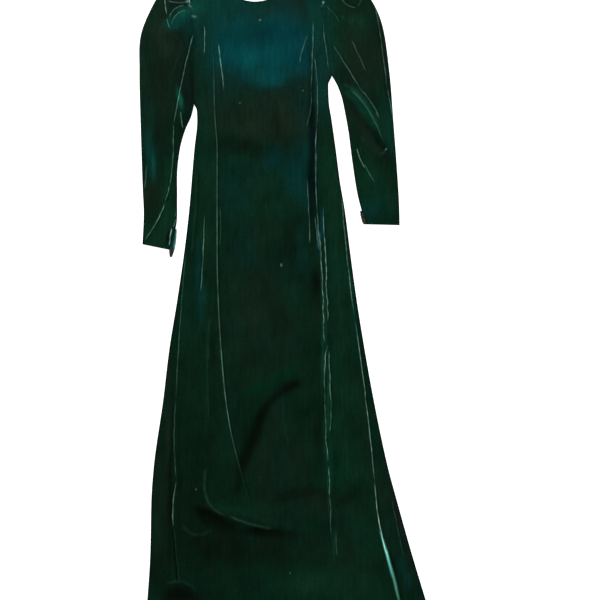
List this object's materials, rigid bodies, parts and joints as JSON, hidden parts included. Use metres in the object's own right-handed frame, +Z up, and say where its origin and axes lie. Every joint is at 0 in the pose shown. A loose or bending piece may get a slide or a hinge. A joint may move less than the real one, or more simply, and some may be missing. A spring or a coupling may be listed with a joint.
{
  "type": "evening gown",
  "caption": "Long flared velvet gown laid flat face up, with a round neck and long sleeves gathered at the head and slit at the cuff.",
  "frame": {"origin": "bottom centre of the laid gown's box, on the surface it lies on", "axes": "+Z up from the surface, +Y from the hem to the neck, +X to the wearer's left, which is the right as seen from above"},
  "size_m": [0.6861, 1.528, 0.0242],
  "materials": {
    "velvet": "pile with a strong sheen",
    "velvet_back": "matt wrong side"
  },
  "bodies": {
    "root": {"front_centre": "velvet", "front_side_right": "velvet", "front_side_left": "velvet", "back_right": "velvet", "back_left": "velvet", "sleeve_right": "velvet", "sleeve_left": "velvet", "cuff_underlap_right": "velvet_back", "cuff_underlap_left": "velvet_back"}
  },
  "joints": []
}
